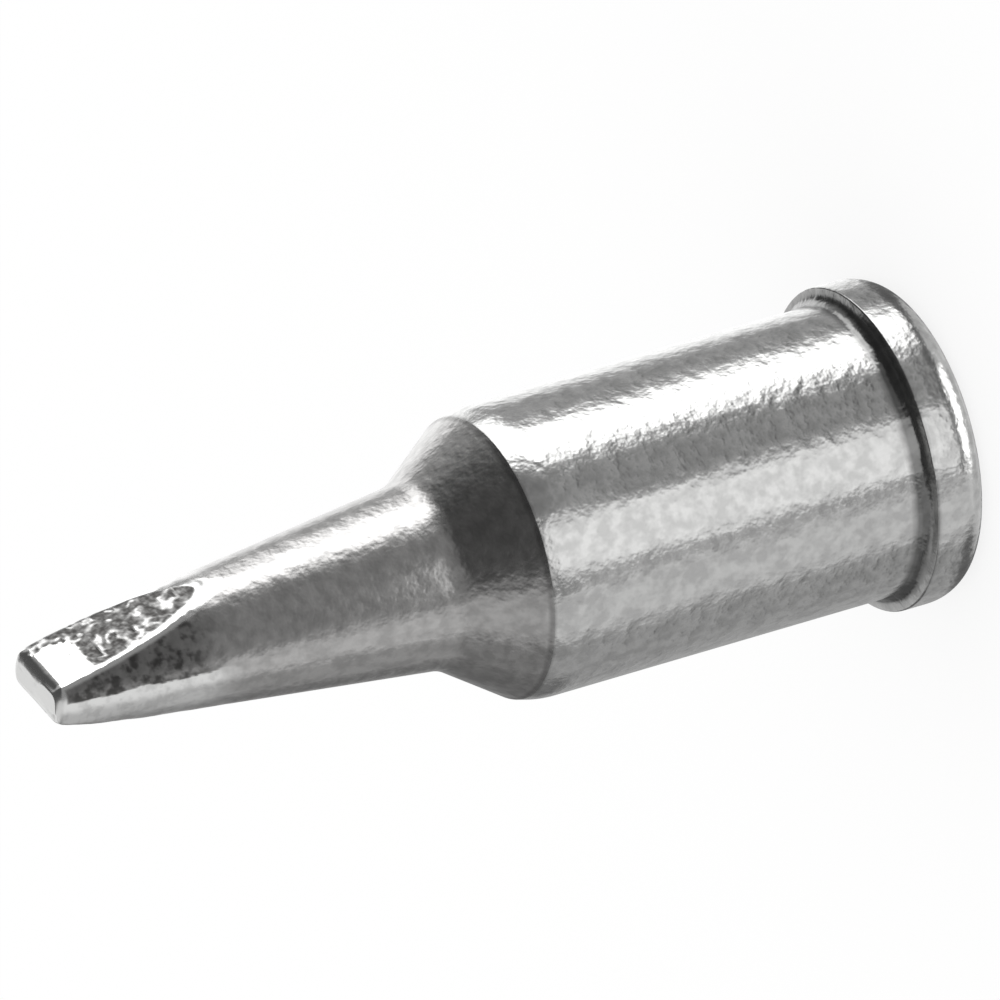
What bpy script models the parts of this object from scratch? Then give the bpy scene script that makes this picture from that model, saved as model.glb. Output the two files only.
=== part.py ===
"""Soldering iron tip, turned from one bar.

A flange, a hollow body that slides over the iron, a shoulder, a tapered neck and a chisel end with two
flats. It stands on the rear face of its flange with its axis along +Z. The flats face +Y and -Y.
"""

import math

import bmesh
import bpy
from mathutils import Matrix, Vector

MM = 0.001

# Body
BODY_DIAMETER = 8.1 * MM
BODY_LENGTH = 11.23 * MM
BODY_EDGE_ROUNDING = 1.5 * MM

# Flange, 9.0 mm across. Its front face rises from the rim to the body.
FLANGE_RIM = 0.45 * MM
FLANGE_THICKNESS = 1.6 * MM
FRONT_FACE_RISE = 0.3 * MM
REAR_EDGE_ROUNDING = 0.65 * MM
FRONT_EDGE_ROUNDING = 0.06 * MM
FLANGE_ROOT_FILLET = 0.28 * MM

# Shoulder
SHOULDER_LENGTH = 2.2 * MM
SHOULDER_ROOT_FILLET = 0.8 * MM

# Neck, a cone from the shoulder to the chisel's end
NECK_BASE_DIAMETER = 5.13 * MM
NECK_LENGTH = 11.68 * MM
CHISEL_WIDTH = 2.42 * MM

# Chisel, two flats ground into the neck's end
CHISEL_THICKNESS = 1.1 * MM
FLAT_ANGLE = math.radians(14.2)
CHISEL_EDGE_ROUNDING = 0.25 * MM

# Socket, bored from the rear for the iron. Its full bore ends short of the shoulder.
BODY_WALL = 0.75 * MM
SOCKET_SHORT_OF_SHOULDER = 0.83 * MM
SOCKET_CHAMFER = 0.12 * MM
DRILL_POINT_ANGLE = math.radians(118.0)

# Fineness of the mesh
TURNED_SIDES = 72
ROUNDING_STEPS = 5
MERGE_DISTANCE = 0.001 * MM

PLATED_METAL_COLOUR = (0.60, 0.59, 0.57, 1.0)
PLATED_METAL_ROUGHNESS = 0.28


def clear_scene():
    """Remove the objects that the file opens with."""
    for old in list(bpy.data.objects):
        bpy.data.objects.remove(old, do_unlink=True)


def rounded_corner(before, corner, after, radius):
    """Return the arc that rounds one corner of a profile, as ROUNDING_STEPS + 1 points."""
    back = (before - corner).normalized()
    ahead = (after - corner).normalized()
    half_angle = back.angle(ahead) / 2
    reach = radius / math.tan(half_angle)
    centre = corner + (back + ahead).normalized() * (radius / math.sin(half_angle))
    start = corner + back * reach - centre
    sweep = start.angle_signed(corner + ahead * reach - centre)
    arc = []
    for step in range(ROUNDING_STEPS + 1):
        turn = Matrix.Rotation(-sweep * step / ROUNDING_STEPS, 2)
        arc.append(centre + turn @ start)
    return arc


def rounded_profile(corners):
    """Turn (radius, height, rounding) corners into a profile's points. The ends stay as given."""
    points = [Vector(corner[:2]) for corner in corners]
    profile = [points[0]]
    for before, corner, after, spec in zip(points, points[1:], points[2:], corners[1:]):
        if spec[2]:
            profile += rounded_corner(before, corner, after, spec[2])
        else:
            profile.append(corner)
    profile.append(points[-1])
    return profile


def flange_radius():
    """Radius of the flange's rim."""
    return BODY_DIAMETER / 2 + FLANGE_RIM


def socket_radius():
    """Radius of the bore inside the body's wall."""
    return BODY_DIAMETER / 2 - BODY_WALL


def shoulder_height():
    """Height at which the body's side meets the shoulder."""
    return FLANGE_THICKNESS + BODY_LENGTH


def neck_height():
    """Height at which the shoulder meets the neck."""
    return shoulder_height() + SHOULDER_LENGTH


def tip_height():
    """Height of the chisel's end face."""
    return neck_height() + NECK_LENGTH


def neck_slope():
    """How much the neck's radius shrinks for each metre of height."""
    return (NECK_BASE_DIAMETER - CHISEL_WIDTH) / 2 / NECK_LENGTH


def neck_radius(height):
    """Radius of the neck's cone at a height."""
    return CHISEL_WIDTH / 2 + (tip_height() - height) * neck_slope()


def flat_offset(height):
    """Distance of each flat from the axis at a height."""
    return CHISEL_THICKNESS / 2 + (tip_height() - height) * math.tan(FLAT_ANGLE)


def turned_profile():
    """Half section of all that is turned, from the drill point round the flange to the foot of the flats."""
    bore_end = shoulder_height() - SOCKET_SHORT_OF_SHOULDER
    drill_point = bore_end + socket_radius() / math.tan(DRILL_POINT_ANGLE / 2)
    chisel_foot = flat_crossings()[0] - CHISEL_EDGE_ROUNDING
    return rounded_profile(
        [
            (0.0, drill_point, 0.0),
            (socket_radius(), bore_end, 0.0),
            (socket_radius(), SOCKET_CHAMFER, 0.0),
            (socket_radius() + SOCKET_CHAMFER, 0.0, 0.0),
            (flange_radius(), 0.0, REAR_EDGE_ROUNDING),
            (flange_radius(), FLANGE_THICKNESS, FRONT_EDGE_ROUNDING),
            (BODY_DIAMETER / 2, FLANGE_THICKNESS + FRONT_FACE_RISE, FLANGE_ROOT_FILLET),
            (BODY_DIAMETER / 2, shoulder_height(), BODY_EDGE_ROUNDING),
            (NECK_BASE_DIAMETER / 2, neck_height(), SHOULDER_ROOT_FILLET),
            (neck_radius(chisel_foot), chisel_foot, 0.0),
        ]
    )


def section_radius(angle, radius, offset, rounding):
    """Distance from the axis to the edge of a round section with two flats and rounded corners.

    Args:
        angle: Direction round the axis, from +X.
        radius: Radius of the round part.
        offset: Distance of each flat from the axis.
        rounding: Radius of the corners between the round part and the flats.
    """
    if offset >= radius:
        return radius
    up = abs(math.sin(angle))
    across = abs(math.cos(angle))
    corner_y = offset - rounding
    corner_x = math.sqrt((radius - rounding) ** 2 - corner_y**2)
    if up * corner_x <= across * corner_y:
        return radius
    if up * corner_x >= across * offset:
        return offset / up
    along = corner_x * across + corner_y * up
    return along + math.sqrt(along**2 - (radius - rounding) ** 2 + rounding**2)


def flat_crossings():
    """Heights at which each flat's curved edge crosses the columns of the mesh, going up.

    Those within the rounding of the end face are left out.
    """
    heights = []
    for column in range(TURNED_SIDES // 4, 0, -1):
        rise = math.sin(2 * math.pi * column / TURNED_SIDES)
        closing = math.tan(FLAT_ANGLE) - neck_slope() * rise
        drop = (CHISEL_WIDTH * rise - CHISEL_THICKNESS) / 2 / closing
        if drop > CHISEL_EDGE_ROUNDING + MERGE_DISTANCE:
            heights.append(tip_height() - drop)
    return heights


def chisel_sections():
    """List (height, inset) pairs up the chisel. The inset rounds the edges of its end face."""
    sections = [(height, 0.0) for height in flat_crossings()]
    for step in range(ROUNDING_STEPS + 1):
        turn = math.pi / 2 * step / ROUNDING_STEPS
        height = tip_height() - CHISEL_EDGE_ROUNDING * (1 - math.sin(turn))
        sections.append((height, CHISEL_EDGE_ROUNDING * (1 - math.cos(turn))))
    return sections


def spin_profile(mesh, profile):
    """Spin a half section once round the Z axis and close its pole."""
    column = [mesh.verts.new((point.x, 0.0, point.y)) for point in profile]
    edges = [mesh.edges.new(pair) for pair in zip(column, column[1:])]
    bmesh.ops.spin(
        mesh,
        geom=column + edges,
        cent=(0.0, 0.0, 0.0),
        axis=(0.0, 0.0, 1.0),
        angle=2 * math.pi,
        steps=TURNED_SIDES,
        use_merge=True,
    )
    bmesh.ops.remove_doubles(mesh, verts=mesh.verts, dist=MERGE_DISTANCE)


def ridge_of(face):
    """The two opposite corners of a four-sided face whose joining line keeps the chisel convex."""
    first, second, third, fourth = face.verts
    plane = (second.co - first.co).cross(third.co - first.co)
    if plane.dot(face.normal) * plane.dot(fourth.co - first.co) > 0:
        return second, fourth
    return first, third


def loft_chisel(mesh):
    """Carry the neck's open rim up through the chisel's sections and close the end face."""
    walls = []
    for height, inset in chisel_sections():
        rim = [edge for edge in mesh.edges if edge.is_boundary]
        lifted = bmesh.ops.extrude_edge_only(mesh, edges=rim)["geom"]
        walls += [item for item in lifted if isinstance(item, bmesh.types.BMFace)]
        for vert in [item for item in lifted if isinstance(item, bmesh.types.BMVert)]:
            angle = math.atan2(vert.co.y, vert.co.x)
            reach = section_radius(
                angle,
                neck_radius(height) - inset,
                flat_offset(height) - inset,
                CHISEL_EDGE_ROUNDING - inset,
            )
            vert.co = (reach * math.cos(angle), reach * math.sin(angle), height)
    rim = [edge for edge in mesh.edges if edge.is_boundary]
    bmesh.ops.edgeloop_fill(mesh, edges=rim)
    bmesh.ops.recalc_face_normals(mesh, faces=mesh.faces)
    for wall in walls:
        bmesh.utils.face_split(wall, *ridge_of(wall))


def plated_metal():
    """Copper with a plated coat: a bright satin metal."""
    material = bpy.data.materials.new("plated_metal")
    material.use_nodes = True
    shader = material.node_tree.nodes["Principled BSDF"]
    shader.inputs["Base Color"].default_value = PLATED_METAL_COLOUR
    shader.inputs["Metallic"].default_value = 1.0
    shader.inputs["Roughness"].default_value = PLATED_METAL_ROUGHNESS
    return material


def soldering_tip():
    """Build the whole tip as one closed mesh object."""
    mesh = bmesh.new()
    spin_profile(mesh, turned_profile())
    loft_chisel(mesh)
    data = bpy.data.meshes.new("soldering_tip")
    mesh.to_mesh(data)
    mesh.free()
    data.materials.append(plated_metal())
    tip = bpy.data.objects.new("soldering_tip", data)
    bpy.context.collection.objects.link(tip)
    return tip


def main():
    """Clear the scene and build the tip."""
    clear_scene()
    soldering_tip()


if __name__ == "__main__":
    main()
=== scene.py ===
"""Soldering iron tip: its finely cut shape, its plate and solder, the pale studio round it and the camera.

The tip stands on its flange with its axis along +Z, and the camera looks across it with the chisel's end
leaning towards the lens.
"""

import logging
import math
from dataclasses import dataclass, field
from enum import Enum
from typing import Any

import bmesh
import bpy
from mathutils import Matrix, Vector, noise

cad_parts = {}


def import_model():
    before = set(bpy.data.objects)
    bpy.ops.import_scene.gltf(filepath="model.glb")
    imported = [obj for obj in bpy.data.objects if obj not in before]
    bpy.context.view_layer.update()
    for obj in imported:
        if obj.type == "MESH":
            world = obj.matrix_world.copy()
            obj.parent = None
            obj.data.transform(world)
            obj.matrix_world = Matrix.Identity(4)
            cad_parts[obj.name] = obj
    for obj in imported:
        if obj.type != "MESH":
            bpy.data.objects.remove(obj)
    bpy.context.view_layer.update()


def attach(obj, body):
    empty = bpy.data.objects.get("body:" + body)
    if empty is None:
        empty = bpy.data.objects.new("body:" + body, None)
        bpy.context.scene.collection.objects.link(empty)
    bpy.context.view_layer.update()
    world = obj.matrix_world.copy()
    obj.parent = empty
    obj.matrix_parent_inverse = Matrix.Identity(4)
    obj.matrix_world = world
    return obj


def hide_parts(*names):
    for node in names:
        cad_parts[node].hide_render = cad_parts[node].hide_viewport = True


MM = 0.001
MIDDLE_HEIGHT = 13 * MM
LOG = logging.getLogger("soldering_tip")

Colour = tuple[float, float, float, float]


def linear(hex_colour: str) -> Colour:
    """Turn an sRGB hex colour into linear light.

    Args:
        hex_colour: Six hex digits after a hash.

    Returns:
        Red, green, blue and an alpha of one.
    """
    values = [int(hex_colour[i : i + 2], 16) / 255 for i in (1, 3, 5)]
    red, green, blue = [v / 12.92 if v <= 0.04045 else ((v + 0.055) / 1.055) ** 2.4 for v in values]
    return (red, green, blue, 1.0)


def add_node(
    tree: bpy.types.NodeTree,
    kind: str,
    settings: dict[str, Any] | None = None,
    inputs: dict[str | int, Any] | None = None,
) -> bpy.types.Node:
    """Add one node to a tree, with its settings, its values and its links.

    Args:
        tree: Node tree that takes the node.
        kind: Type name of the node.
        settings: Attributes of the node to set.
        inputs: For each input's name or index, a value or the output socket that feeds it.

    Returns:
        The new node.
    """
    node = tree.nodes.new(kind)
    for name, value in (settings or {}).items():
        setattr(node, name, value)
    for name, value in (inputs or {}).items():
        if isinstance(value, bpy.types.NodeSocket):
            tree.links.new(value, node.inputs[name])
        else:
            node.inputs[name].default_value = value
    return node


class Layer(Enum):
    """What each of the tip's vertices carries for its material, from 0 to 1."""

    TINNED = "tinned"
    FROSTED = "frosted"
    CRUST = "crust"


class SeenBy(Enum):
    """Which rays see a studio piece."""

    REFLECTIONS_ONLY = "reflections only"
    ALL_BUT_REFLECTIONS = "all but reflections"


@dataclass(frozen=True)
class TipSizes:
    """Sizes of the tip in metres and radians: the solid's, with finer edges and fillets."""

    body_radius: float = 4.05 * MM
    body_length: float = 11.23 * MM
    body_turn_height: float = 12.49 * MM
    body_turn_rounding: float = 2.5 * MM
    shoulder_line_radius: float = 3.905 * MM
    shoulder_line_height: float = 13.05 * MM
    shoulder_line_rounding: float = 0.08 * MM
    flange_radius: float = 4.5 * MM
    flange_thickness: float = 1.6 * MM
    front_face_rise: float = 0.12 * MM
    rear_edge_depth: float = 0.60 * MM
    rear_edge_length: float = 0.85 * MM
    front_edge_rounding: float = 0.06 * MM
    flange_root_fillet: float = 0.40 * MM
    shoulder_length: float = 2.2 * MM
    shoulder_root_fillet: float = 1.4 * MM
    neck_base_radius: float = 2.565 * MM
    neck_length: float = 11.68 * MM
    chisel_width: float = 2.42 * MM
    chisel_thickness: float = 1.1 * MM
    flat_angle: float = math.radians(14.2)
    side_end_rounding: float = 0.25 * MM
    flat_end_rounding: float = 0.30 * MM
    flat_edge_rounding: float = 0.34 * MM
    least_rounding: float = 0.05 * MM
    socket_radius: float = 3.3 * MM
    socket_depth: float = 12.0 * MM
    socket_chamfer: float = 0.12 * MM
    socket_edge_rounding: float = 0.03 * MM
    drill_point_angle: float = math.radians(118.0)

    @property
    def shoulder_height(self) -> float:
        """Height at which the body's side meets the shoulder."""
        return self.flange_thickness + self.body_length

    @property
    def neck_height(self) -> float:
        """Height at which the shoulder meets the neck."""
        return self.shoulder_height + self.shoulder_length

    @property
    def tip_height(self) -> float:
        """Height of the chisel's end face."""
        return self.neck_height + self.neck_length

    def neck_radius(self, height: float) -> float:
        """Radius of the neck's cone at a height."""
        slope = (self.neck_base_radius - self.chisel_width / 2) / self.neck_length
        return self.chisel_width / 2 + (self.tip_height - height) * slope

    def flat_offset(self, height: float) -> float:
        """Distance of each flat from the axis at a height."""
        return self.chisel_thickness / 2 + (self.tip_height - height) * math.tan(self.flat_angle)

    def end_inset(self, height: float, rounding: float) -> float:
        """Find how far a rounding of the end face's edge draws the section in.

        Args:
            height: Height of the section.
            rounding: Radius of the rounding.

        Returns:
            The inset, zero below the rounding.
        """
        rise = height - (self.tip_height - rounding)
        return rounding - math.sqrt(max(0.0, rounding**2 - rise**2)) if rise > 0 else 0.0

    def section_radius(self, angle: float, height: float) -> float:
        """Find the edge of the neck's section, which has two flats with rounded corners.

        Args:
            angle: Direction round the axis, from +X.
            height: Height of the section.

        Returns:
            Distance from the axis to the edge.
        """
        radius = self.neck_radius(height) - self.end_inset(height, self.side_end_rounding)
        inset = self.end_inset(height, self.flat_end_rounding)
        offset = self.flat_offset(height) - inset
        rounding = max(self.flat_edge_rounding - inset, self.least_rounding)
        if offset >= radius:
            return radius
        up = abs(math.sin(angle))
        across = abs(math.cos(angle))
        corner_y = offset - rounding
        corner_x = math.sqrt((radius - rounding) ** 2 - corner_y**2)
        if up * corner_x <= across * corner_y:
            return radius
        if up * corner_x >= across * offset:
            return offset / up
        along = corner_x * across + corner_y * up
        return along + math.sqrt(along**2 - (radius - rounding) ** 2 + rounding**2)


@dataclass
class TurnedOutline:
    """Half section of the tip before its flats are ground, as points of radius and height."""

    sizes: TipSizes
    rounding_steps: int = 14
    rear_steps: int = 18
    end_steps: int = 22
    plain_spacing: float = 0.55 * MM
    tinned_spacing: float = 0.040 * MM
    tinned_length: float = 6.6 * MM
    end_rings: int = 12

    def rounded_corner(self, before: Vector, corner: Vector, after: Vector, radius: float) -> list[Vector]:
        """Round one corner of the outline.

        Args:
            before: The corner before it.
            corner: The corner to round.
            after: The corner after it.
            radius: Radius of the rounding.

        Returns:
            The arc's points in order.
        """
        back = (before - corner).normalized()
        ahead = (after - corner).normalized()
        half_angle = back.angle(ahead) / 2
        reach = radius / math.tan(half_angle)
        centre = corner + (back + ahead).normalized() * (radius / math.sin(half_angle))
        start = corner + back * reach - centre
        sweep = start.angle_signed(corner + ahead * reach - centre)
        turns = [Matrix.Rotation(-sweep * i / self.rounding_steps, 2) for i in range(self.rounding_steps + 1)]
        return [centre + turn @ start for turn in turns]

    def rounded_line(self, corners: list[tuple[float, float, float]]) -> list[Vector]:
        """Join corners into a line with rounded bends. Its ends stay as given.

        Args:
            corners: Radius, height and rounding of each corner.

        Returns:
            The line's points in order.
        """
        spots = [Vector(corner[:2]) for corner in corners]
        line = [spots[0]]
        for before, corner, after, spec in zip(spots, spots[1:], spots[2:], corners[1:]):
            line += self.rounded_corner(before, corner, after, spec[2])
        line.append(spots[-1])
        return line

    def rear_edge(self) -> list[Vector]:
        """Lay out the flange's rear edge, which is a quarter of an ellipse.

        Returns:
            Its points, going up.
        """
        s = self.sizes
        turns = [math.pi / 2 * i / self.rear_steps for i in range(self.rear_steps + 1)]
        return [
            Vector(
                (
                    s.flange_radius - s.rear_edge_depth * (1 - math.sin(turn)),
                    s.rear_edge_length * (1 - math.cos(turn)),
                )
            )
            for turn in turns
        ]

    def turned_part(self) -> list[Vector]:
        """Lay out the outline up to the tinned end, with its roundings and coarse straight runs.

        Returns:
            Its points, from the drill point round the flange to the neck.
        """
        s = self.sizes
        drill_point = s.socket_depth + s.socket_radius / math.tan(s.drill_point_angle / 2)
        tinned_start = s.tip_height - self.tinned_length
        socket = [
            (0.0, drill_point, 0.0),
            (s.socket_radius, s.socket_depth, s.socket_edge_rounding),
            (s.socket_radius, s.socket_chamfer, s.socket_edge_rounding),
            (s.socket_radius + s.socket_chamfer, 0.0, s.socket_edge_rounding),
            (s.flange_radius - s.rear_edge_depth, 0.0, 0.0),
        ]
        outside = [
            (s.flange_radius, s.rear_edge_length, 0.0),
            (s.flange_radius, s.flange_thickness, s.front_edge_rounding),
            (s.body_radius, s.flange_thickness + s.front_face_rise, s.flange_root_fillet),
            (s.body_radius, s.body_turn_height, s.body_turn_rounding),
            (s.shoulder_line_radius, s.shoulder_line_height, s.shoulder_line_rounding),
            (s.neck_base_radius, s.neck_height, s.shoulder_root_fillet),
            (s.neck_radius(tinned_start), tinned_start, 0.0),
        ]
        bare = self.rounded_line(socket)[:-1] + self.rear_edge() + self.rounded_line(outside)[1:]
        line = [bare[0]]
        for start, end in zip(bare, bare[1:]):
            parts = max(1, math.ceil((end - start).length / self.plain_spacing))
            line += [start.lerp(end, i / parts) for i in range(1, parts + 1)]
        return line

    def points(self) -> list[Vector]:
        """Lay out the whole outline, finely where solder lies, and close it over the end face.

        Returns:
            Its points, from the drill point to the middle of the end face.
        """
        s = self.sizes
        line = self.turned_part()
        base = line[-1].y
        rise = s.tip_height - s.flat_end_rounding - base
        rings = math.ceil(rise / self.tinned_spacing)
        heights = [base + rise * i / rings for i in range(1, rings + 1)]
        for i in range(1, self.end_steps + 1):
            turn = math.pi / 2 * i / self.end_steps
            heights.append(s.tip_height - s.flat_end_rounding * (1 - math.sin(turn)))
        line += [Vector((s.neck_radius(h) - s.end_inset(h, s.side_end_rounding), h)) for h in heights]
        rim = line[-1].x
        line += [Vector((rim * (1 - i / self.end_rings), s.tip_height)) for i in range(1, self.end_rings + 1)]
        return line


@dataclass(frozen=True)
class Fade:
    """A smooth change from 0 at one value to 1 at another, which may be the lower one."""

    start: float
    end: float

    def at(self, value: float) -> float:
        """Share of the change that is reached at a value."""
        share = min(1.0, max(0.0, (value - self.start) / (self.end - self.start)))
        return share * share * (3 - 2 * share)


@dataclass(frozen=True)
class Ripple:
    """Smooth noise of one size in metres, between plus and minus its strength."""

    size: float
    strength: float = 1.0
    offset: tuple[float, float, float] = (0.0, 0.0, 0.0)

    def at(self, point: Vector) -> float:
        """Value of the noise at a point."""
        return self.strength * noise.noise(point / self.size + Vector(self.offset))


@dataclass
class SolderCover:
    """Solder that was left on the chisel: where it lies, how thick, and how it is wrinkled.

    Each flat has a smooth pool at its end and wrinkled solder under a dark crust behind it. On each side
    the solder has run from one flat over the edge and past the middle.

    Fades of distance are in metres. They are measured down from the end face, in from a flat's plane or
    across a flat, as the method that reads them says.
    """

    sizes: TipSizes

    # The part of a flat that wrinkles
    smooth_edge_reach: float = 0.16 * MM
    rough_edge_reach: float = 0.50 * MM
    edge_fade: float = 0.10 * MM
    smooth_band: Fade = Fade(0.10 * MM, 0.24 * MM)
    rough_edge: Fade = Fade(-0.10 * MM, 0.02 * MM)

    # Solder that has run over the edge, as a share of the neck's radius past the middle of the side
    run_over: float = 0.19
    run_over_ripples: tuple[Ripple, ...] = (Ripple(0.5 * MM, 0.07 * MM), Ripple(0.15 * MM, 0.03 * MM))

    # Where the solder stops on the sides, on the flats and round the end
    end_line_ripples: tuple[Ripple, ...] = (
        Ripple(0.7 * MM, 0.45 * MM),
        Ripple(0.25 * MM, 0.225 * MM),
        Ripple(0.1 * MM, 0.135 * MM),
    )
    side_edge: Fade = Fade(-0.02 * MM, 0.03 * MM)
    side_end: Fade = Fade(5.60 * MM, 4.20 * MM)
    flat_edge: Fade = Fade(0.11 * MM, 0.05 * MM)
    flat_end: Fade = Fade(5.82 * MM, 5.58 * MM)
    end_cap: Fade = Fade(0.34 * MM, 0.26 * MM)

    # Where it is frosty
    frosted_end: Fade = Fade(0.20 * MM, 0.0)
    frosted_side: Fade = Fade(0.06 * MM, 0.20 * MM)

    # The smooth pool
    pool_ripples: tuple[Ripple, ...] = (Ripple(0.34 * MM, 0.384 * MM), Ripple(0.14 * MM, 0.192 * MM))
    pool_behind: Fade = Fade(1.40 * MM, 1.20 * MM)
    pool_beside: Fade = Fade(0.68 * MM, 0.52 * MM)

    # Bright ridges between the wrinkles: where the noise of a bent point is near zero, and blobs
    vein_size: float = 0.40 * MM
    vein_bends: tuple[Ripple, ...] = (
        Ripple(vein_size / 0.7, 0.8, (0.0, 7.3, 2.1)),
        Ripple(vein_size / 0.7, 0.8, (4.6, 0.0, 9.4)),
        Ripple(vein_size / 0.7, 0.8, (8.8, 3.5, 0.0)),
    )
    vein_ridge: Fade = Fade(0.26, 0.052)
    vein_presence: Fade = Fade(-0.25, 0.25)
    vein_presence_ripple: Ripple = Ripple(vein_size / 0.9, 1.0, (5.2, 9.1, 2.4))
    blob: Fade = Fade(0.32, 0.55)
    blob_ripple: Ripple = Ripple(vein_size / 1.5, 1.0, (1.7, 4.4, 7.9))
    vein_level: float = 0.72
    vein_break_ripple: Ripple = Ripple(vein_size / 3.7, 0.5)
    vein_height: float = 0.012 * MM

    # Crust on the wrinkles, tarnish with blotches on the bare metal, clouds on the frosty solder
    crust_size: float = 0.24 * MM
    fine_ripples: tuple[Ripple, ...] = (Ripple(crust_size / 1.8), Ripple(crust_size / 3.4, 0.7))
    vein_clearing: float = 0.88
    wrinkle_crust: float = 0.76
    wrinkle_variation: float = 0.28
    wrinkle_start: Fade = Fade(0.15 * MM, 0.45 * MM)
    blotch_ripple: Ripple = Ripple(crust_size)
    blotch_fineness: float = 0.5
    blotch_gather: Fade = Fade(-0.45 * MM, 0.0)
    blotch_gathering: float = 0.4
    blotch: Fade = Fade(-0.20, 0.70)
    tarnish: float = 0.27
    blotch_crust: float = 0.40
    tarnish_end: Fade = Fade(5.2 * MM, 3.6 * MM)
    tarnish_start: Fade = Fade(0.0, 0.6 * MM)
    cloud_ripple: Ripple = Ripple(0.42 * MM)
    cloud_fineness: float = 0.6
    cloud: Fade = Fade(-0.3, 0.6)
    cloud_start: Fade = Fade(0.05 * MM, 0.30 * MM)
    cloud_crust: float = 0.10

    # Relief: broad swells, crinkles on the flats, ripples on the sides and a thicker coat on one side
    swell_size: float = 0.75 * MM
    swell_height: float = 0.014 * MM
    swell_ripples: tuple[Ripple, ...] = (
        Ripple(swell_size, swell_height),
        Ripple(swell_size / 2.1, 0.4 * swell_height, (3.7, 1.1, 8.2)),
    )
    crinkle_ripple: Ripple = Ripple(0.13 * MM, 0.005 * MM)
    pool_crinkle: float = 0.3
    side_ripple: Ripple = Ripple(0.24 * MM, 0.006 * MM)
    build_up: float = 0.05 * MM
    build_up_facing: Fade = Fade(0.5, 0.95)
    build_up_end: Fade = Fade(2.6 * MM, 0.2 * MM)

    def total(self, ripples: tuple[Ripple, ...], point: Vector) -> float:
        """Sum of several ripples at a point."""
        return sum(ripple.at(point) for ripple in ripples)

    def below_end(self, point: Vector) -> float:
        """Distance of a point below the end face."""
        return self.sizes.tip_height - point.z

    def flat_gap(self, point: Vector) -> float:
        """Distance of a point inwards from the plane of the nearer flat."""
        return self.sizes.flat_offset(point.z) - abs(point.y)

    def towards_rough_edge(self, point: Vector) -> float:
        """Distance of a point from the nearer flat's middle line, towards the edge without a smooth band."""
        return -math.copysign(1.0, point.y) * point.x

    def on_flat(self, point: Vector) -> float:
        """Say how far a point lies in the part of a flat that wrinkles.

        The band along one edge stays smooth. At the other edge the wrinkles run over.

        Args:
            point: Place on the ground metal.

        Returns:
            A share from 0 to 1.
        """
        offset = self.sizes.flat_offset(point.z)
        radius = self.sizes.neck_radius(point.z)
        if offset >= radius:
            return 0.0
        half_width = math.sqrt(radius**2 - offset**2)
        side = self.towards_rough_edge(point)
        reach = self.smooth_edge_reach if side < 0 else self.rough_edge_reach
        near = Fade(reach, reach - self.edge_fade).at(self.flat_gap(point))
        return near * self.smooth_band.at(half_width + side) * self.rough_edge.at(half_width - side)

    def over_edge(self, point: Vector) -> float:
        """Find how far a point of a side lies within the solder that has run over the edge.

        Args:
            point: Place on the ground metal.

        Returns:
            Distance from that solder's own edge, below zero outside it.
        """
        radius = math.hypot(point.x, point.y)
        middle = -math.copysign(1.0, point.x) * point.y
        return middle + self.run_over * radius + self.total(self.run_over_ripples, point)

    def tinned(self, point: Vector) -> float:
        """Say how much solder covers a point.

        Args:
            point: Place on the ground metal.

        Returns:
            A share from 0 to 1.
        """
        below_end = self.below_end(point)
        reach = below_end + self.total(self.end_line_ripples, point)
        side = self.side_edge.at(self.over_edge(point)) * self.side_end.at(reach)
        flats = self.flat_edge.at(self.flat_gap(point)) * self.flat_end.at(reach)
        return max(side, flats, self.end_cap.at(below_end))

    def frosted(self, point: Vector) -> float:
        """Say how frosty the solder is at a point, from 0 on the flats to 1 on the sides and the end."""
        return max(self.frosted_side.at(self.flat_gap(point)), self.frosted_end.at(self.below_end(point)))

    def pool(self, point: Vector) -> float:
        """Say how far a point of a flat lies in the smooth pool at its end.

        Args:
            point: Place on the ground metal.

        Returns:
            A share from 0 to 1.
        """
        ragged = self.total(self.pool_ripples, point)
        behind = self.pool_behind.at(self.below_end(point) + ragged)
        return behind * self.pool_beside.at(self.towards_rough_edge(point) + ragged)

    def vein(self, point: Vector) -> float:
        """Say how far a point lies on one of the bright ridges between the wrinkles.

        Args:
            point: Place on the ground metal.

        Returns:
            A share from 0 to 1.
        """
        bent = point / self.vein_size + Vector([ripple.at(point) for ripple in self.vein_bends])
        ridge = self.vein_ridge.at(abs(noise.noise(bent)))
        present = self.vein_presence.at(self.vein_presence_ripple.at(point))
        blobs = self.blob.at(self.blob_ripple.at(point))
        broken = self.vein_level + self.vein_break_ripple.at(point)
        return min(1.0, max(ridge * present, blobs) * broken)

    def crust(self, point: Vector) -> float:
        """Say how much dark crust of burnt flux lies on a point.

        It lies on the wrinkles, in blotches on the bare half of each side, and in faint clouds on the
        frosty solder.

        Args:
            point: Place on the ground metal.

        Returns:
            A share from 0 to 1.
        """
        below_end = self.below_end(point)
        flat = self.on_flat(point)
        tinned = self.tinned(point)
        fine = self.total(self.fine_ripples, point)
        wrinkled = flat * (1 - self.pool(point)) * (1 - self.vein_clearing * self.vein(point))
        wrinkled *= (self.wrinkle_crust + self.wrinkle_variation * fine) * self.wrinkle_start.at(below_end)
        blotches = self.blotch_ripple.at(point) + self.blotch_fineness * fine
        blotches += self.blotch_gathering * self.blotch_gather.at(self.over_edge(point))
        bare = (self.tarnish + self.blotch_crust * self.blotch.at(blotches)) * (1 - tinned) * (1 - flat)
        bare *= self.tarnish_end.at(below_end) * self.tarnish_start.at(below_end)
        clouds = self.cloud.at(self.cloud_ripple.at(point) + self.cloud_fineness * fine)
        clouds *= self.cloud_crust * self.cloud_start.at(below_end) * self.frosted(point) * tinned
        return 1 - (1 - min(1.0, max(wrinkled, bare, clouds))) ** 2

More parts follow.
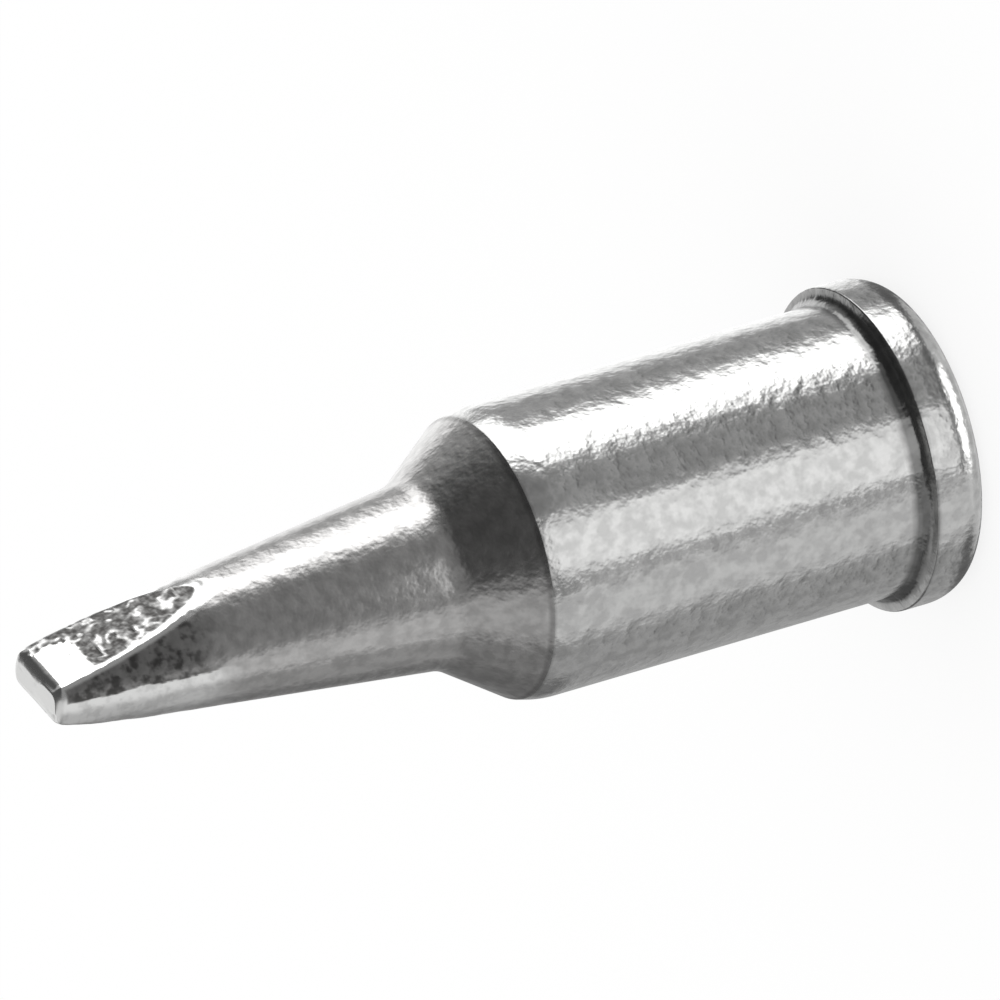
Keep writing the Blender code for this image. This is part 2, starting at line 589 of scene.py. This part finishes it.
    def height(self, point: Vector) -> float:
        """Find how high the solder's surface stands over the ground metal.

        Args:
            point: Place on the ground metal.

        Returns:
            The height, below zero in a furrow.
        """
        flat = self.on_flat(point)
        tinned = self.tinned(point)
        wrinkled = flat * (1 - self.pool(point))
        raised = self.total(self.swell_ripples, point) * tinned
        raised += self.vein_height * wrinkled * (self.vein(point) - 0.5)
        raised += (self.pool_crinkle + wrinkled) * flat * self.crinkle_ripple.at(point)
        raised += (1 - flat) * tinned * self.side_ripple.at(point)
        facing = -math.copysign(1.0, point.x) * math.cos(math.atan2(point.y, abs(point.x)))
        side = self.build_up_facing.at(facing) * (1 - flat)
        return raised + self.build_up * side * self.build_up_end.at(self.below_end(point))


@dataclass
class SolderingTip:
    """The whole tip as one closed piece: flange, body, shoulder, neck and tinned chisel."""

    sizes: TipSizes
    sides: int = 252
    merge_distance: float = 0.0005 * MM
    round_neck: float = 1.0 * MM
    name: str = "soldering_tip_plated"

    def spin(self, mesh: bmesh.types.BMesh) -> None:
        """Spin the half section once round the axis and close its poles.

        Args:
            mesh: Mesh that takes the tip's skin.
        """
        outline = TurnedOutline(self.sizes).points()
        column = [mesh.verts.new((p.x, 0.0, p.y)) for p in outline]
        edges = [mesh.edges.new(pair) for pair in zip(column, column[1:])]
        bmesh.ops.spin(
            mesh,
            geom=column + edges,
            cent=(0.0, 0.0, 0.0),
            axis=(0.0, 0.0, 1.0),
            angle=2 * math.pi,
            steps=self.sides,
            use_merge=True,
        )
        bmesh.ops.remove_doubles(mesh, verts=mesh.verts, dist=self.merge_distance)
        bmesh.ops.recalc_face_normals(mesh, faces=mesh.faces)

    def grind_flats(self, mesh: bmesh.types.BMesh) -> None:
        """Press the spun cone's skin in to the two flats, with their rounded edges.

        Args:
            mesh: Mesh with the spun skin.
        """
        s = self.sizes
        for vert in mesh.verts:
            reach = math.hypot(vert.co.x, vert.co.y)
            if vert.co.z < s.neck_height + self.round_neck or reach < self.merge_distance:
                continue
            spun = s.neck_radius(vert.co.z) - s.end_inset(vert.co.z, s.side_end_rounding)
            share = s.section_radius(math.atan2(vert.co.y, vert.co.x), vert.co.z) / spun
            vert.co.x *= share
            vert.co.y *= share

    def raise_solder(self, mesh: bmesh.types.BMesh) -> None:
        """Raise the solder's relief and mark where solder and crust lie.

        Args:
            mesh: Mesh with the ground flats.
        """
        cover = SolderCover(self.sizes)
        tinned = mesh.verts.layers.float.new(Layer.TINNED.value)
        frosted = mesh.verts.layers.float.new(Layer.FROSTED.value)
        crust = mesh.verts.layers.float.new(Layer.CRUST.value)
        mesh.normal_update()
        start = self.sizes.tip_height - TurnedOutline(self.sizes).tinned_length
        moves = []
        for vert in mesh.verts:
            if vert.co.z < start:
                continue
            vert[tinned] = cover.tinned(vert.co)
            vert[frosted] = cover.frosted(vert.co)
            vert[crust] = cover.crust(vert.co)
            moves.append((vert, vert.normal * cover.height(vert.co)))
        for vert, move in moves:
            vert.co += move
            vert.co.z = min(vert.co.z, self.sizes.tip_height)

    def build(self) -> bpy.types.Object:
        """Make the finished mesh and place it in the scene.

        Returns:
            The tip's object.
        """
        mesh = bmesh.new()
        self.spin(mesh)
        self.grind_flats(mesh)
        self.raise_solder(mesh)
        for face in mesh.faces:
            face.smooth = True
        data = bpy.data.meshes.new(self.name)
        mesh.to_mesh(data)
        mesh.free()
        tip = bpy.data.objects.new(self.name, data)
        bpy.context.scene.collection.objects.link(tip)
        return tip


@dataclass(frozen=True)
class Finish:
    """One finish of the tip's skin."""

    colour: str
    roughness: float


@dataclass(frozen=True)
class PlateAndSolder:
    """Satin nickel plate on the body, dull iron plate on the neck, and solder with crust on the chisel.

    Nickel: blasted before plating, so it shines softly and breaks up into grains. Iron: oxidised by heat,
    so it is darker and spreads light wider. Solder: a smooth bright metal that mirrors sharply, and frosty
    where it lies thin. Crust: burnt flux, dark and dull. Painted shade darkens the plate in a soft ring in
    the flange's root corner and in a thin ring along the shoulder's start.
    """

    nickel: Finish = Finish("#CDCDCC", 0.22)
    iron: Finish = Finish("#C0BFBE", 0.29)
    solder: Finish = Finish("#E6E6E5", 0.15)
    frosted_solder: Finish = Finish("#F0F0EF", 0.32)
    crust: Finish = Finish("#3A3938", 0.36)
    iron_start: float = 13.04 * MM
    iron_blend: float = 0.05 * MM
    # Painted shade: a darker soft ring on the plate in the flange's root corner, where shade falls
    root_shade_height: float = 1.84 * MM
    root_shade_reach: float = 0.34 * MM
    root_shade: float = 0.36
    inside_radius: float = 3.5 * MM
    outside_radius: float = 3.7 * MM
    # Painted shade: a thin dark ring on the plate along the shoulder's line, where shade falls at its step
    shoulder_shade_height: float = 13.09 * MM
    shoulder_shade_reach: float = 0.12 * MM
    shoulder_shade: float = 0.68
    ring_core: float = 0.35
    # Grains of the blasted metal and the broader unevenness between them, as coarse as they show
    grain: float = 0.14 * MM
    grain_detail: float = 1.5
    grain_roughness: float = 0.6
    grain_span: tuple[float, float] = (0.40, 0.60)
    grain_depth: float = 0.005 * MM
    grain_dark: float = 0.97
    pitting: float = 0.38 * MM
    pitting_detail: float = 2.0
    pitting_span: tuple[float, float] = (0.38, 0.62)
    pitting_depth: float = 0.027 * MM
    pitting_dark: float = 0.79
    relief_under_solder: float = 0.12

    def build(self) -> bpy.types.Material:
        """Make the material.

        Returns:
            The one material of the whole tip.
        """
        material = bpy.data.materials.new("satin_nickel_iron_and_solder")
        material.use_nodes = True
        tree = material.node_tree
        shader = tree.nodes["Principled BSDF"]
        place = add_node(tree, "ShaderNodeTexCoord").outputs["Object"]
        height = add_node(tree, "ShaderNodeSeparateXYZ", {}, {"Vector": place}).outputs["Z"]
        inputs = {"Vector": place, "Scale": 1 / self.grain, "Detail": self.grain_detail}
        inputs["Roughness"] = self.grain_roughness
        grain = add_node(tree, "ShaderNodeTexNoise", {}, inputs).outputs["Fac"]
        inputs = {"Vector": place, "Scale": 1 / self.pitting, "Detail": self.pitting_detail}
        pitting = add_node(tree, "ShaderNodeTexNoise", {}, inputs).outputs["Fac"]
        tinned, frosted, crust = [
            add_node(tree, "ShaderNodeAttribute", {"attribute_name": layer.value}).outputs["Fac"]
            for layer in Layer
        ]
        on_iron = self.share(tree, height, self.iron_start, self.iron_start + self.iron_blend)
        mottle = self.share(tree, pitting, *self.pitting_span, self.pitting_dark, 1.0)
        speck = self.share(tree, grain, *self.grain_span, self.grain_dark, 1.0)
        # Painted shade on the plate: a soft ring in the flange's root corner and a thin ring along the
        # shoulder's line
        root_shade = self.band(tree, height, self.root_shade_height, self.root_shade_reach, self.root_shade)
        line = self.band(tree, height, self.shoulder_shade_height, self.shoulder_shade_reach, self.shoulder_shade)
        # The painted shade in the flange's root is kept off the inside of the socket
        inputs = {0: place, 1: (1.0, 1.0, 0.0)}
        level = add_node(tree, "ShaderNodeVectorMath", {"operation": "MULTIPLY"}, inputs).outputs[0]
        radius = add_node(tree, "ShaderNodeVectorMath", {"operation": "LENGTH"}, {0: level}).outputs["Value"]
        outside = self.share(tree, radius, self.inside_radius, self.outside_radius)
        root_shade = self.blend(tree, outside, 1.0, root_shade)
        plate = self.mix(tree, on_iron, linear(self.nickel.colour), linear(self.iron.colour))
        # The plate is darkened by the random mottle and speck, and by the two rings of painted shade
        for darkening in (mottle, speck, root_shade, line):
            inputs = {0: plate, "Scale": darkening}
            plate = add_node(tree, "ShaderNodeVectorMath", {"operation": "SCALE"}, inputs).outputs[0]
        solder = self.mix(tree, frosted, linear(self.solder.colour), linear(self.frosted_solder.colour))
        colour = self.mix(tree, tinned, plate, solder)
        colour = self.mix(tree, crust, colour, linear(self.crust.colour))
        rough = self.share(tree, on_iron, 0.0, 1.0, self.nickel.roughness, self.iron.roughness)
        smooth = self.share(tree, frosted, 0.0, 1.0, self.solder.roughness, self.frosted_solder.roughness)
        rough = self.blend(tree, tinned, rough, smooth)
        rough = self.blend(tree, crust, rough, self.crust.roughness)
        relief = self.share(tree, tinned, 0.0, 1.0, 1.0, self.relief_under_solder)
        inputs = {"Height": pitting, "Distance": self.pitting_depth, "Strength": relief}
        bump = add_node(tree, "ShaderNodeBump", {}, inputs).outputs["Normal"]
        inputs = {"Height": grain, "Distance": self.grain_depth, "Strength": relief, "Normal": bump}
        bump = add_node(tree, "ShaderNodeBump", {}, inputs).outputs["Normal"]
        tree.links.new(colour, shader.inputs["Base Color"])
        tree.links.new(rough, shader.inputs["Roughness"])
        tree.links.new(bump, shader.inputs["Normal"])
        shader.inputs["Metallic"].default_value = 1.0
        return material

    def mix(self, tree: bpy.types.NodeTree, share: Any, first: Any, second: Any) -> bpy.types.NodeSocket:
        """Blend two colours by a share. Each may be a value or a socket, and a socket comes back."""
        inputs = {0: share, 6: first, 7: second}
        return add_node(tree, "ShaderNodeMix", {"data_type": "RGBA"}, inputs).outputs[2]

    def blend(self, tree: bpy.types.NodeTree, share: Any, first: Any, second: Any) -> bpy.types.NodeSocket:
        """Blend two numbers by a share. Each may be a value or a socket, and a socket comes back."""
        inputs = {0: share, 2: first, 3: second}
        return add_node(tree, "ShaderNodeMix", {"data_type": "FLOAT"}, inputs).outputs[0]

    def band(
        self, tree: bpy.types.NodeTree, height: Any, middle: float, reach: float, level: float
    ) -> bpy.types.NodeSocket:
        """Give a level in a soft ring round the tip and one elsewhere.

        Args:
            tree: Node tree that takes the nodes.
            height: Socket with the height along the tip.
            middle: Height of the ring's middle.
            reach: Distance from the middle at which the ring has faded out.
            level: Value in the ring's middle.

        Returns:
            The output socket.
        """
        gap = add_node(tree, "ShaderNodeMath", {"operation": "SUBTRACT"}, {0: height, 1: middle}).outputs[0]
        gap = add_node(tree, "ShaderNodeMath", {"operation": "ABSOLUTE"}, {0: gap}).outputs[0]
        return self.share(tree, gap, reach * self.ring_core, reach, level, 1.0)

    def share(
        self,
        tree: bpy.types.NodeTree,
        value: Any,
        low: float,
        high: float,
        start: float = 0.0,
        end: float = 1.0,
    ) -> bpy.types.NodeSocket:
        """Turn a value between low and high into one between start and end.

        Args:
            tree: Node tree that takes the node.
            value: Socket to read.
            low: Value that gives start.
            high: Value that gives end.
            start: Result at low and below.
            end: Result at high and above.

        Returns:
            The output socket.
        """
        inputs = {"Value": value, "From Min": low, "From Max": high, "To Min": start, "To Max": end}
        return add_node(tree, "ShaderNodeMapRange", {}, inputs).outputs["Result"]


@dataclass(frozen=True)
class PhotoCamera:
    """The camera at the photograph's viewing angle, with a long lens."""

    azimuth: float = math.radians(-49.0)
    elevation: float = math.radians(25.0)
    roll: float = math.radians(-106.2)
    lens: float = 1450.0
    sensor: float = 36.0
    half_frame: float = 13.333 * MM
    aim_height: float = 12.09 * MM
    aim_across: float = 1.36 * MM
    clip_factor: float = 10.0

    @property
    def towards(self) -> Vector:
        """Horizontal direction from the tip to the camera."""
        return Vector((math.sin(self.azimuth), -math.cos(self.azimuth), 0.0))

    @property
    def across(self) -> Vector:
        """Horizontal direction that points down across the tip in the picture."""
        return self.towards.cross(Vector((0.0, 0.0, 1.0)))

    def direction(self, bearing: float, elevation: float) -> Vector:
        """Turn a bearing and an elevation into a direction.

        Args:
            bearing: Degrees round the axis from the camera, towards the picture's lower side.
            elevation: Degrees above the horizon.

        Returns:
            The direction at unit length.
        """
        turn = math.radians(bearing)
        rise = math.radians(elevation)
        level = self.towards * math.cos(turn) + self.across * math.sin(turn)
        return level * math.cos(rise) + Vector((0.0, 0.0, math.sin(rise)))

    def build(self) -> bpy.types.Object:
        """Make the camera and set it as the scene's.

        Returns:
            The camera's object.
        """
        data = bpy.data.cameras.new("photo_camera")
        data.lens = self.lens
        data.sensor_width = self.sensor
        distance = self.half_frame * self.lens / (self.sensor / 2)
        back = self.direction(0.0, math.degrees(self.elevation))
        up = Vector((0.0, 0.0, 1.0)) * math.cos(self.elevation) - self.towards * math.sin(self.elevation)
        up = Matrix.Rotation(self.roll, 3, back) @ up
        right = up.cross(back)
        aim = Vector((0.0, 0.0, self.aim_height)) - self.across * self.aim_across
        camera = bpy.data.objects.new("photo_camera", data)
        basis = Matrix((right, up, back)).transposed()
        camera.matrix_world = Matrix.Translation(aim + back * distance) @ basis.to_4x4()
        data.clip_start = distance / self.clip_factor
        data.clip_end = distance * self.clip_factor
        bpy.context.scene.collection.objects.link(camera)
        bpy.context.scene.camera = camera
        return camera


def stage_object(
    name: str, mesh: bmesh.types.BMesh, material: bpy.types.Material, seen_by: SeenBy
) -> bpy.types.Object:
    """Turn a mesh into a studio piece, which isn't part of the tip.

    Args:
        name: Name of the piece.
        mesh: Its mesh, which is freed.
        material: Its material.
        seen_by: Which rays see it.

    Returns:
        The piece's object.
    """
    data = bpy.data.meshes.new(name)
    mesh.to_mesh(data)
    mesh.free()
    data.materials.append(material)
    piece = bpy.data.objects.new(name, data)
    bpy.context.scene.collection.objects.link(piece)
    for_reflections = seen_by is SeenBy.REFLECTIONS_ONLY
    piece.visible_glossy = for_reflections
    piece.visible_camera = not for_reflections
    piece.visible_diffuse = not for_reflections
    piece.visible_shadow = not for_reflections
    piece.visible_transmission = not for_reflections
    return piece


@dataclass(frozen=True)
class StudioCard:
    """A light or dark card round the tip, which only its reflections see.

    The bearing is from the camera and grows towards the picture's lower side. Bearing, elevation, width,
    height and lean are in degrees. The feather is the share of the card over which its glow fades out.
    """

    name: str
    bearing: float
    elevation: float
    width: float
    height: float
    strength: float
    feather: float
    distance: float
    lean: float = 0.0
    aim_height: float = MIDDLE_HEIGHT

    def build(self, camera: PhotoCamera) -> bpy.types.Object:
        """Make the card, facing the tip's axis at its aim height.

        Args:
            camera: Camera that the bearing is counted from.

        Returns:
            The card's object.
        """
        centre = Vector((0.0, 0.0, self.aim_height))
        mesh = bmesh.new()
        bmesh.ops.create_grid(mesh, x_segments=1, y_segments=1, size=1.0)
        half_width = self.distance * math.tan(math.radians(self.width / 2))
        half_height = self.distance * math.tan(math.radians(self.height / 2))
        facing = camera.direction(self.bearing, self.elevation)
        turn = (-facing).to_track_quat("Z", "Y").to_matrix().to_4x4()
        lean = Matrix.Rotation(math.radians(self.lean), 4, "Z")
        scale = Matrix.Diagonal((half_width, half_height, 1.0, 1.0))
        card = stage_object(self.name, mesh, self.material(), SeenBy.REFLECTIONS_ONLY)
        card.matrix_world = Matrix.Translation(centre + facing * self.distance) @ turn @ lean @ scale
        return card

    def material(self) -> bpy.types.Material:
        """Make the card's glow, which fades out towards its edges.

        Returns:
            The card's material.
        """
        material = bpy.data.materials.new(self.name)
        material.use_nodes = True
        tree = material.node_tree
        tree.nodes.remove(tree.nodes["Principled BSDF"])
        place = add_node(tree, "ShaderNodeTexCoord").outputs["Object"]
        axes = add_node(tree, "ShaderNodeSeparateXYZ", {}, {"Vector": place})
        fades = []
        for axis in ("X", "Y"):
            reach = add_node(tree, "ShaderNodeMath", {"operation": "ABSOLUTE"}, {0: axes.outputs[axis]})
            inputs = {
                "Value": reach.outputs[0],
                "From Min": 1.0 - self.feather,
                "From Max": 1.0,
                "To Min": 1.0,
                "To Max": 0.0,
            }
            fade = add_node(tree, "ShaderNodeMapRange", {"interpolation_type": "SMOOTHSTEP"}, inputs)
            fades.append(fade.outputs["Result"])
        inputs = {0: fades[0], 1: fades[1]}
        share = add_node(tree, "ShaderNodeMath", {"operation": "MULTIPLY"}, inputs).outputs[0]
        glow = add_node(tree, "ShaderNodeEmission", {}, {"Strength": self.strength}).outputs[0]
        clear = add_node(tree, "ShaderNodeBsdfTransparent").outputs[0]
        mix = add_node(tree, "ShaderNodeMixShader", {}, {0: share, 1: clear, 2: glow}).outputs[0]
        tree.links.new(mix, tree.nodes["Material Output"].inputs["Surface"])
        return material


@dataclass(frozen=True)
class Room:
    """The grey room that the metal reflects, darker overhead and lighter below.

    Its levels are strengths of glow, and its heights and reaches are in degrees.
    """

    radius: float = 400 * MM
    segments: int = 48
    rings: int = 24
    wall: float = 0.30
    horizon: float = 0.50
    ring: float = 0.16
    below: float = 0.68
    ceiling: float = 0.08
    ceiling_bearing: float = -146.0
    ceiling_elevation: float = 76.0
    ceiling_reach: float = 75.0
    ceiling_edge: float = 5.0
    wall_bottom: float = -13.0
    horizon_level: float = -26.0
    ring_top: float = -34.0
    ring_bottom: float = -44.0
    below_top: float = -50.0

    def build(self, camera: PhotoCamera, centre: Vector) -> bpy.types.Object:
        """Make the room.

        Args:
            camera: Camera that the ceiling's bearing is counted from.
            centre: Middle of the room.

        Returns:
            The room's object.
        """
        mesh = bmesh.new()
        bmesh.ops.create_uvsphere(mesh, u_segments=self.segments, v_segments=self.rings, radius=self.radius)
        room = stage_object("grey_room", mesh, self.material(camera), SeenBy.REFLECTIONS_ONLY)
        room.location = centre
        return room

    def material(self, camera: PhotoCamera) -> bpy.types.Material:
        """Make the room's glow.

        Args:
            camera: Camera that the ceiling's bearing is counted from.

        Returns:
            The room's material.
        """
        material = bpy.data.materials.new("grey_room")
        material.use_nodes = True
        tree = material.node_tree
        tree.nodes.remove(tree.nodes["Principled BSDF"])
        place = add_node(tree, "ShaderNodeTexCoord").outputs["Object"]
        outwards = add_node(tree, "ShaderNodeVectorMath", {"operation": "NORMALIZE"}, {0: place}).outputs[0]
        overhead = camera.direction(self.ceiling_bearing, self.ceiling_elevation)
        inputs = {0: outwards, 1: overhead}
        nearness = add_node(tree, "ShaderNodeVectorMath", {"operation": "DOT_PRODUCT"}, inputs)
        height = add_node(tree, "ShaderNodeSeparateXYZ", {}, {"Vector": outwards}).outputs["Z"]
        soft = {"interpolation_type": "SMOOTHSTEP"}
        wall: Any = self.below
        steps = [
            (self.below_top, self.ring_bottom, self.ring),
            (self.ring_top, self.horizon_level, self.horizon),
            (self.horizon_level, self.wall_bottom, self.wall),
        ]
        for low, high, level in steps:
            inputs = {
                "Value": height,
                "From Min": math.sin(math.radians(low)),
                "From Max": math.sin(math.radians(high)),
                "To Min": wall,
                "To Max": level,
            }
            wall = add_node(tree, "ShaderNodeMapRange", soft, inputs).outputs["Result"]
        level = add_node(
            tree,
            "ShaderNodeMapRange",
            soft,
            {
                "Value": nearness.outputs["Value"],
                "From Min": math.cos(math.radians(self.ceiling_reach + self.ceiling_edge)),
                "From Max": math.cos(math.radians(self.ceiling_reach - self.ceiling_edge)),
                "To Min": wall,
                "To Max": self.ceiling,
            },
        ).outputs["Result"]
        glow = add_node(tree, "ShaderNodeEmission", {}, {"Strength": level}).outputs[0]
        tree.links.new(glow, tree.nodes["Material Output"].inputs["Surface"])
        return material


@dataclass
class Studio:
    """A white floor, an even pale light all round, and the room and cards that the metal reflects."""

    camera: PhotoCamera
    centre: Vector = field(default_factory=lambda: Vector((0.0, 0.0, MIDDLE_HEIGHT)))
    floor_size: float = 900 * MM
    floor_glow: float = 0.8
    world_strength: float = 1.0

    def cards(self) -> list[StudioCard]:
        """List the cards.

        Returns:
            The cards, not yet built.
        """
        # Bearing, elevation, width and height in degrees, strength, feather and distance
        return [
            StudioCard("highlight_strip", -80.0, -12.0, 41.0, 48.0, 3.0, 0.3, 230 * MM, lean=22.0),
            StudioCard("pool_glow", -108.0, -5.0, 24.0, 26.0, 2.4, 0.4, 232 * MM),
            StudioCard("end_fade", -112.0, 12.0, 70.0, 36.0, 0.45, 0.9, 236 * MM),
            StudioCard("end_glow", 95.0, 0.0, 100.0, 70.0, 0.70, 0.4, 31 * MM, aim_height=54 * MM),
            StudioCard("front_reflector", 8.0, 0.0, 38.0, 82.0, 1.25, 0.1, 10 * MM, aim_height=5.5 * MM),
            StudioCard("table_near", 64.0, -22.0, 46.0, 80.0, 0.82, 0.3, 240 * MM),
            StudioCard("far_white", -160.0, -18.0, 48.0, 34.0, 1.5, 0.5, 245 * MM),
            StudioCard("far_upper", -147.0, -5.0, 46.0, 24.0, 1.7, 0.4, 247 * MM),
            StudioCard("lower_side_fill", 108.0, -12.0, 46.0, 30.0, 0.47, 0.5, 246 * MM),
            StudioCard("far_grey", 178.0, 19.0, 64.0, 56.0, 0.90, 0.5, 238 * MM),
            StudioCard("corner_glow", 132.0, 34.0, 60.0, 40.0, 0.6, 0.6, 239 * MM),
            StudioCard("upper_lower_side", 66.0, 32.0, 56.0, 50.0, 0.62, 0.4, 248 * MM),
            StudioCard("dark_flag", 140.0, -6.0, 44.0, 40.0, 0.20, 0.4, 252 * MM),
            StudioCard("front_low", -5.0, -62.0, 50.0, 26.0, 3.0, 0.25, 226 * MM),
            StudioCard("below_rear", 180.0, -66.0, 60.0, 40.0, 0.8, 0.3, 242 * MM),
        ]

    def build_floor(self) -> bpy.types.Object:
        """Make the white floor, which takes the tip's shadow.

        Its glow is for the eye alone: it adds nothing to the light on the tip.

        Returns:
            The floor's object.
        """
        mesh = bmesh.new()
        bmesh.ops.create_grid(mesh, x_segments=1, y_segments=1, size=self.floor_size / 2)
        material = bpy.data.materials.new("white_paper")
        material.use_nodes = True
        tree = material.node_tree
        shader = tree.nodes["Principled BSDF"]
        shader.inputs["Base Color"].default_value = (1.0, 1.0, 1.0, 1.0)
        shader.inputs["Roughness"].default_value = 1.0
        shader.inputs["Specular IOR Level"].default_value = 0.0
        ray = add_node(tree, "ShaderNodeLightPath")
        seen = ray.outputs["Is Camera Ray"]
        for kind in ("Is Glossy Ray", "Is Transmission Ray"):
            inputs = {0: seen, 1: ray.outputs[kind]}
            seen = add_node(tree, "ShaderNodeMath", {"operation": "MAXIMUM"}, inputs).outputs[0]
        inputs = {0: seen, 1: self.floor_glow}
        share = add_node(tree, "ShaderNodeMath", {"operation": "MULTIPLY"}, inputs).outputs[0]
        glow = add_node(tree, "ShaderNodeEmission", {}, {"Strength": 1.0}).outputs[0]
        surface = {0: share, 1: shader.outputs[0], 2: glow}
        mix = add_node(tree, "ShaderNodeMixShader", {}, surface).outputs[0]
        tree.links.new(mix, tree.nodes["Material Output"].inputs["Surface"])
        return stage_object("floor", mesh, material, SeenBy.ALL_BUT_REFLECTIONS)

    def build_world(self) -> None:
        """Light the scene evenly from all round."""
        world = bpy.data.worlds.new("pale_studio")
        world.use_nodes = True
        background = world.node_tree.nodes["Background"]
        background.inputs["Color"].default_value = (1.0, 1.0, 1.0, 1.0)
        background.inputs["Strength"].default_value = self.world_strength
        bpy.context.scene.world = world

    def build(self) -> None:
        """Make the floor, the light, the room and the cards."""
        self.build_floor()
        self.build_world()
        Room().build(self.camera, self.centre)
        for card in self.cards():
            card.build(self.camera)
            LOG.info("studio card: %s", card.name)


def main() -> None:
    """Build the tip, the studio and the camera."""
    logging.basicConfig(level=logging.INFO)
    bpy.context.scene.view_settings.view_transform = "Standard"
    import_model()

    sizes = TipSizes()
    tip = SolderingTip(sizes).build()
    tip.data.materials.append(PlateAndSolder().build())
    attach(tip, "root")
    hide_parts("soldering_tip")
    LOG.info("tip: %d faces", len(tip.data.polygons))

    camera = PhotoCamera()
    camera.build()
    Studio(camera).build()


if __name__ == "__main__":
    main()
